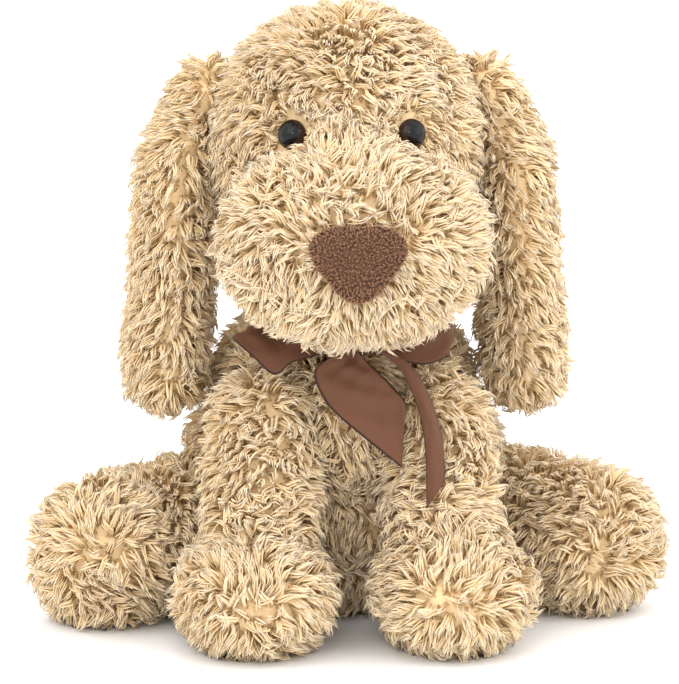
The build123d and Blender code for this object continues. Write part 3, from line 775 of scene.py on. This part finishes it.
# each tail falls from the knot's front between two edges; their last points make the slanting cut
short_one = rows(-3, -11, 1, -10, -12, -3, -17, -14, -8, -15, -17, -16.5, -8.5, -20, -25, 5, -23.5, -36,
                 17, -26, -45.5)
short_other = rows(-1.5, -11.5, 2, 2, -12.5, -3, 7, -14, -8, 11.5, -15.5, -12, 15, -17, -15.5,
                   17.5, -18.5, -18, 19, -20, -21)
long_one = rows(-1, -11.5, 1.5, 8, -13, -1, 16, -15, -7, 21.5, -18.5, -17, 25, -22, -28, 26.5, -26.5, -42,
                26.5, -31, -61)
long_other = rows(0, -12, 2, 12, -13.5, 0.5, 22, -16, -7, 29, -19.5, -19, 33, -23.5, -33, 34, -27, -45,
                  33.5, -28.5, -51)
ribbons["short_tail_cloth"] = ribbon_strip(
    "short_tail_cloth", knot + short_one, knot + short_other, folds=0.9
)
ribbons["long_tail_cloth"] = ribbon_strip(
    "long_tail_cloth", knot + long_one, knot + long_other, bulge=2.8, folds=0.3
)

# %% [markdown]
# ## What rides on what
# Every piece is told which body of the jointed model carries it, and the plain solids it stands for are
# hidden. The skin stands for a cover and for the stuffing inside it.

# %% Bodies and replaced solids
head_nodes = [f"{part}_{name}" for part in ("muzzle_cover", "head_stuffing") for _, name in sides]
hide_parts("head_cover_face", "head_cover_back", *head_nodes)
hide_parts("neck_ball")
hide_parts("torso_cover_left", "torso_cover_right", "torso_stuffing")
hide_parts("tail_cover", "tail_stuffing")
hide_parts("nose")
for name, skin in leg_skins.items():
    parts = ("outer", "inner", "stuffing") if "front" in name else ("upper", "sole", "stuffing")
    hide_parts(*[f"{name}_{part}" for part in parts])
for name, skin in ear_skins.items():
    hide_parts(f"{name}_outer", f"{name}_lining")
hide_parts("neck_ribbon")
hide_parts("bow_knot")
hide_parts("ribbon_tail_short")
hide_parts("ribbon_tail_long")
for _, name in sides:
    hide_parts(f"bow_loop_{name}")

skins = {"head": head_skin, "neck": neck_skin, "torso": torso_skin, "tail": tail_skin}
skins.update({**leg_skins, **ear_skins})
furs = {"head": head_fur, "neck": neck_fur, "torso": torso_fur, "tail": tail_fur}
furs.update({**leg_furs, **ear_furs})
for body in skins:
    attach(skins[body], body)
    for coat in furs[body]:
        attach(coat, body)
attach(nose_pad, "head")
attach(nose_nap, "head")
for name, (strip, flat, area) in ribbons.items():
    hangs = "tail" in name
    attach(strip, "ribbon_tails" if hangs else "torso")
print(len(skins) + len(furs) + len(ribbons) + 2, "pieces placed")


# %% [markdown]
# ## Materials
# Near the cloth the tan pile is a little deeper in colour than at its paler, cream tips, and a little lighter
# than in its middle: that lighter root colour is painted light, lifting the shade that falls between the
# locks. Every lock differs from the next. Both come from the map that the locks were given, through one node
# group that puts out a colour. The fleece, the backing cloth and the plain solids share a second group, a
# fine noise that gives a colour and a height for small bumps.

# %% Node groups
def new_group(name, inputs, outputs):
    """An empty node group with named sockets: each input is a name, a kind and a starting value."""
    group = bpy.data.node_groups.new(name, "ShaderNodeTree")
    for label, kind, value in inputs:
        socket = group.interface.new_socket(label, in_out="INPUT", socket_type=f"NodeSocket{kind}")
        if value is not None:
            socket.default_value = value
    for label, kind in outputs:
        group.interface.new_socket(label, in_out="OUTPUT", socket_type=f"NodeSocket{kind}")
    return group, group.nodes.new("NodeGroupInput"), group.nodes.new("NodeGroupOutput")


def mix_colours(tree, a, b, amount, mode="MIX"):
    """One colour mixed with another; sockets or plain values."""
    node = tree.nodes.new("ShaderNodeMix")
    node.data_type, node.blend_type = "RGBA", mode
    for socket, value in zip((node.inputs[0], node.inputs[6], node.inputs[7]), (amount, a, b)):
        if isinstance(value, bpy.types.NodeSocket):
            tree.links.new(value, socket)
        else:
            socket.default_value = value
    return node.outputs[2]


def remap(tree, value, low, high, to_low=0.0, to_high=1.0):
    """A value carried from one range to another with a soft start and end."""
    node = tree.nodes.new("ShaderNodeMapRange")
    node.interpolation_type = "SMOOTHSTEP"
    tree.links.new(value, node.inputs["Value"])
    for label, number in zip(("From Min", "From Max", "To Min", "To Max"), (low, high, to_low, to_high)):
        node.inputs[label].default_value = number
    return node.outputs["Result"]


pile_group, pile_in, pile_out = new_group(
    "pile shades",
    [("Map", "Vector", None), ("Root", "Color", (0.1, 0.05, 0.02, 1)),
     ("Middle", "Color", (0.5, 0.3, 0.2, 1)), ("Tip", "Color", (0.8, 0.6, 0.4, 1))],
    [("Color", "Color"), ("Height", "Float")],
)
split = pile_group.nodes.new("ShaderNodeSeparateXYZ")
pile_group.links.new(pile_in.outputs["Map"], split.inputs[0])
lock, up = split.outputs[0], split.outputs[1]
root, middle, tip = (pile_in.outputs[label] for label in ("Root", "Middle", "Tip"))
# along the fibre: the root colour near the cloth, then the middle, then the tip; on the tan pile the root
# colour is painted lighter than the middle to lift the shade between the locks
lower = mix_colours(pile_group, root, middle, remap(pile_group, up, 0.05, 0.62))
upper = mix_colours(pile_group, lower, tip, remap(pile_group, up, 0.5, 1.0))
deep = mix_colours(pile_group, upper, middle, remap(pile_group, lock, 0.0, 0.45, 0.75, 0.0))
pale = mix_colours(pile_group, deep, tip, remap(pile_group, lock, 0.5, 1.0, 0.0, 0.6))
whole = mix_colours(pile_group, root, pale, remap(pile_group, up, 0.0, 0.45))
pile_group.links.new(whole, pile_out.inputs["Color"])
pile_group.links.new(up, pile_out.inputs["Height"])

nap_group, nap_in, nap_out = new_group(
    "fine nap",
    [("Map", "Vector", None), ("Scale", "Float", 400.0), ("Dark", "Color", (0.1, 0.1, 0.1, 1)),
     ("Light", "Color", (0.5, 0.5, 0.5, 1))],
    [("Color", "Color"), ("Height", "Float")],
)
grain = nap_group.nodes.new("ShaderNodeTexNoise")
grain.inputs["Detail"].default_value = 5
nap_group.links.new(nap_in.outputs["Map"], grain.inputs["Vector"])
nap_group.links.new(nap_in.outputs["Scale"], grain.inputs["Scale"])
mottle = remap(nap_group, grain.outputs["Fac"], 0.3, 0.7)
patch = mix_colours(nap_group, nap_in.outputs["Dark"], nap_in.outputs["Light"], mottle)
nap_group.links.new(patch, nap_out.inputs["Color"])
nap_group.links.new(grain.outputs["Fac"], nap_out.inputs["Height"])


# %% Materials
def new_material(name, roughness, **constants):
    """A material with its Principled shader; constants are set on the shader's own sockets."""
    material = bpy.data.materials.new(name)
    material.use_nodes = True
    shader = material.node_tree.nodes["Principled BSDF"]
    shader.inputs["Roughness"].default_value = roughness
    for label, value in constants.items():
        shader.inputs[label.replace("_", " ")].default_value = value
    return material, material.node_tree, shader


def place_group(tree, group, source, **values):
    """A node group in a material, with its own values and the coordinates it reads."""
    node = tree.nodes.new("ShaderNodeGroup")
    node.node_tree = group
    tree.links.new(source, node.inputs["Map"])
    for label, value in values.items():
        node.inputs[label].default_value = value
    return node


def own_map(tree):
    node = tree.nodes.new("ShaderNodeUVMap")
    node.uv_map = "OFBake"
    return node.outputs["UV"]


def object_place(tree):
    return tree.nodes.new("ShaderNodeTexCoord").outputs["Object"]


def add_bump(tree, shader, height, strength, distance):
    node = tree.nodes.new("ShaderNodeBump")
    node.inputs["Strength"].default_value = strength
    node.inputs["Distance"].default_value = distance
    tree.links.new(height, node.inputs["Height"])
    tree.links.new(node.outputs["Normal"], shader.inputs["Normal"])


def pile_material(name, root, middle, tip):
    """Long pile: shades by lock and by height, a dry surface with a faint sheen."""
    material, tree, shader = new_material(
        name, 0.7, Sheen_Weight=0.1, Sheen_Roughness=0.5, Specular_IOR_Level=0.15
    )
    group = place_group(tree, pile_group, own_map(tree), Root=root, Middle=middle, Tip=tip)
    tree.links.new(group.outputs["Color"], shader.inputs["Base Color"])
    return material


def nap_material(name, dark, light, scale, strength, roughness=0.8, **constants):
    """Short cloth surfaces and plain solids: a fine mottled colour with bumps of the same grain."""
    material, tree, shader = new_material(name, roughness, **constants)
    group = place_group(tree, nap_group, object_place(tree), Dark=dark, Light=light, Scale=scale)
    tree.links.new(group.outputs["Color"], shader.inputs["Base Color"])
    add_bump(tree, shader, group.outputs["Height"], strength, 0.0006)
    return material


# the root colour, lighter than the middle, is painted light that lifts the shade among the locks; the tips
# are pale cream
tan_pile = pile_material("tan pile", (0.9, 0.68, 0.38, 1), (0.86, 0.65, 0.38, 1), (0.87, 0.73, 0.54, 1))
nose_pile = pile_material("nose nap", (0.1, 0.042, 0.02, 1), (0.27, 0.13, 0.066, 1), (0.46, 0.25, 0.145, 1))
backing = nap_material("backing cloth", (0.84, 0.62, 0.34, 1), (0.9, 0.68, 0.4, 1), 900, 0.4)
fleece = nap_material("nose fleece", (0.08, 0.034, 0.016, 1), (0.18, 0.084, 0.044, 1), 900, 0.8, 0.9)
washer_plastic = nap_material("washer plastic", (0.7, 0.7, 0.68, 1), (0.8, 0.8, 0.78, 1), 60, 0.05, 0.4)
pouch_cloth = nap_material("pouch cloth", (0.6, 0.58, 0.52, 1), (0.75, 0.73, 0.68, 1), 500, 0.4)


def eye_material(front, radius):
    """Polished plastic, black with a dark brown ring: the distance from the eye's front tells them apart.
    The sign of X is dropped first, so both eyes share it."""
    material, tree, shader = new_material("eye gloss", 0.06)
    shader.inputs["Specular IOR Level"].default_value = 0.3
    both = tree.nodes.new("ShaderNodeVectorMath")
    both.operation = "ABSOLUTE"
    tree.links.new(object_place(tree), both.inputs[0])
    far = tree.nodes.new("ShaderNodeVectorMath")
    far.operation = "DISTANCE"
    far.inputs[1].default_value = [abs(v) * MM for v in front]
    tree.links.new(both.outputs[0], far.inputs[0])
    ring = remap(tree, far.outputs["Value"], radius * 0.84 * MM, radius * 0.98 * MM)
    colour = mix_colours(tree, (0.003, 0.003, 0.004, 1), (0.03, 0.016, 0.011, 1), ring)
    tree.links.new(colour, shader.inputs["Base Color"])
    return material


eye_gloss = eye_material(eye_places["left"] + eye_outward["left"] * 4.2, 6.0)


def ribbon_material():
    """Woven ribbon: threads as crossed waves of its own map, a dark woven edge and a soft shine."""
    material, tree, shader = new_material("brown ribbon", 0.6, Sheen_Weight=0.05, Specular_IOR_Level=0.2)
    source = own_map(tree)
    parts = tree.nodes.new("ShaderNodeSeparateXYZ")
    tree.links.new(source, parts.inputs[0])
    from_edge = tree.nodes.new("ShaderNodeMath")
    from_edge.operation = "PINGPONG"
    from_edge.inputs[1].default_value = 0.5
    tree.links.new(parts.outputs[0], from_edge.inputs[0])
    threads = []
    for direction, count in (("X", 24.0), ("Y", 60.0)):
        wave = tree.nodes.new("ShaderNodeTexWave")
        wave.bands_direction = direction
        wave.inputs["Scale"].default_value = count
        tree.links.new(source, wave.inputs["Vector"])
        threads.append(wave.outputs["Fac"])
    weave = tree.nodes.new("ShaderNodeMath")
    weave.operation = "MULTIPLY"
    for thread, socket in zip(threads, weave.inputs):
        tree.links.new(thread, socket)
    cloth = mix_colours(tree, (0.115, 0.046, 0.024, 1), (0.19, 0.084, 0.045, 1), weave.outputs[0])
    edged = mix_colours(tree, (0.025, 0.01, 0.008, 1), cloth, remap(tree, from_edge.outputs[0], 0.04, 0.08))
    tree.links.new(edged, shader.inputs["Base Color"])
    add_bump(tree, shader, weave.outputs[0], 0.3, 0.0002)
    return material


ribbon_cloth = ribbon_material()


def dress(obj, material):
    """Give the object one material."""
    obj.data.materials.clear()
    obj.data.materials.append(material)


for piece in skins.values():
    dress(piece, backing)
for coat in furs.values():
    for piece in coat:
        dress(piece, tan_pile)
for piece, material in ((nose_pad, fleece), (nose_nap, nose_pile)):
    dress(piece, material)
for strip, *_ in ribbons.values():
    dress(strip, ribbon_cloth)
node_finishes = {"eye_washer": washer_plastic, "eye": eye_gloss, "pellet_pouch": pouch_cloth}
for node, obj in frame["nodes"].items():
    for start, material in node_finishes.items():
        if node.startswith(start):
            for slot in obj.material_slots:
                slot.material = material
            break
print("every piece has its material")
